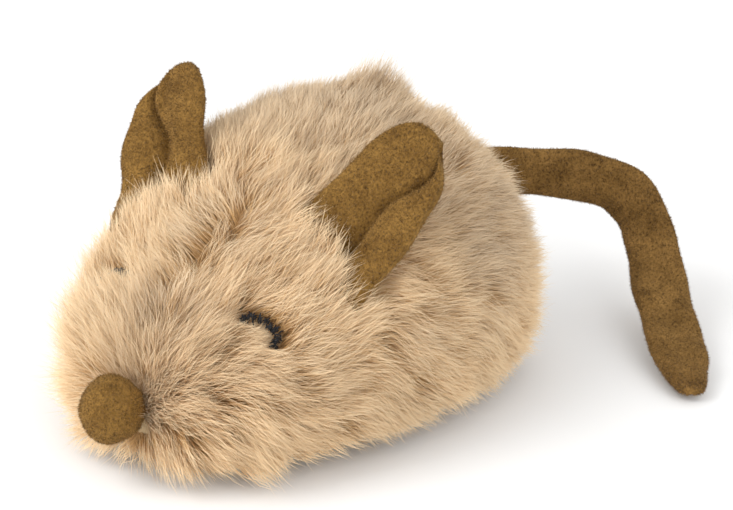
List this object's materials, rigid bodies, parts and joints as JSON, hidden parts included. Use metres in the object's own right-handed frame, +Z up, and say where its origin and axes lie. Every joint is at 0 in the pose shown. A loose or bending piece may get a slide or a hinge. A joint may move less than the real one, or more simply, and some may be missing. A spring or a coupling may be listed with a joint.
{
  "type": "clockwork toy mouse",
  "caption": "Plush fur mouse with suede ears, nose and tail over a housed spring movement that drives two belly wheels.",
  "frame": {"origin": "on the floor, midway between the two drive wheels, straight below the drive axle", "axes": "+Z up; -Y towards the nose, +Y towards the rump; +X towards the mouse's left side"},
  "size_m": [0.1173, 0.1362, 0.0596],
  "materials": {
    "fur": "long combed pile, beige tips over darker roots",
    "suede": "brushed olive-brown suede cloth",
    "thread": "black embroidery thread",
    "wadding": "white polyester wadding",
    "moulding": "fine grained moulded plastic",
    "knob": "brown moulded plastic",
    "hub": "off-white moulded plastic",
    "tyre": "soft black rubber",
    "steel": "plated sheet and rod",
    "spring_steel": "blued spring strip",
    "brass": "cut brass"
  },
  "bodies": {
    "root": {"fur_skin": "fur", "wadding": "wadding", "ear_left": "suede", "ear_right": "suede", "nose_cover": "suede", "nose_filling": "wadding", "eye_left": "thread", "eye_right": "thread", "tail": "suede", "winding_eyelet": "brass", "housing": "moulding", "base_plate": "moulding", "housing_screws": "steel", "frame_plate_left": "steel", "frame_plate_right": "steel", "frame_pillars": "steel", "frame_screws": "steel", "mainspring": "spring_steel"},
    "drive_axle": {"drive_axle": "steel", "axle_pinion": "brass", "axle_collars": "steel", "wheel_hub_left": "hub", "wheel_hub_right": "hub", "tyre_left": "tyre", "tyre_right": "tyre"},
    "great_wheel": {"great_wheel": "brass", "click": "steel", "click_spring": "spring_steel"},
    "second_wheel": {"second_arbor": "steel", "second_pinion": "brass", "second_wheel": "brass"},
    "governor": {"governor_arbor": "steel", "governor_pinion": "brass", "governor_flywheel": "brass"},
    "winding": {"winding_arbor": "steel", "winding_knob": "knob", "ratchet_wheel": "steel", "arbor_clip": "steel"},
    "caster_fork": {"caster_fork": "moulding", "caster_axle": "steel", "caster_washer": "steel", "caster_clip": "steel"},
    "caster_wheel": {"caster_wheel": "tyre"}
  },
  "joints": [
    {"name": "drive_axle_spin", "type": "hinge", "parent": "root", "child": "drive_axle", "pos_m": [0, 0, 0.009], "axis": [1, 0, 0], "continuous": true},
    {"name": "great_wheel_spin", "type": "hinge", "parent": "root", "child": "great_wheel", "pos_m": [0, 0.00859, 0.0213], "axis": [1, 0, 0], "continuous": true},
    {"name": "second_wheel_spin", "type": "hinge", "parent": "root", "child": "second_wheel", "pos_m": [0, -0.00551, 0.02468], "axis": [1, 0, 0], "continuous": true},
    {"name": "governor_spin", "type": "hinge", "parent": "root", "child": "governor", "pos_m": [0, -0.01733, 0.0226], "axis": [1, 0, 0], "continuous": true},
    {"name": "winding_turn", "type": "hinge", "parent": "root", "child": "winding", "pos_m": [0, 0.00859, 0.0213], "axis": [-1, 0, 0], "range_deg": [0, 1800]},
    {"name": "caster_swivel", "type": "hinge", "parent": "root", "child": "caster_fork", "pos_m": [0, -0.036, 0.01], "axis": [0, 0, 1], "continuous": true},
    {"name": "caster_roll", "type": "hinge", "parent": "caster_fork", "child": "caster_wheel", "pos_m": [0, -0.033, 0.0045], "axis": [1, 0, 0], "continuous": true}
  ],
  "couplings": [
    {"joint": "great_wheel_spin", "follows": "drive_axle_spin", "ratio": -0.25},
    {"joint": "second_wheel_spin", "follows": "drive_axle_spin", "ratio": 1.2},
    {"joint": "governor_spin", "follows": "drive_axle_spin", "ratio": -6}
  ]
}
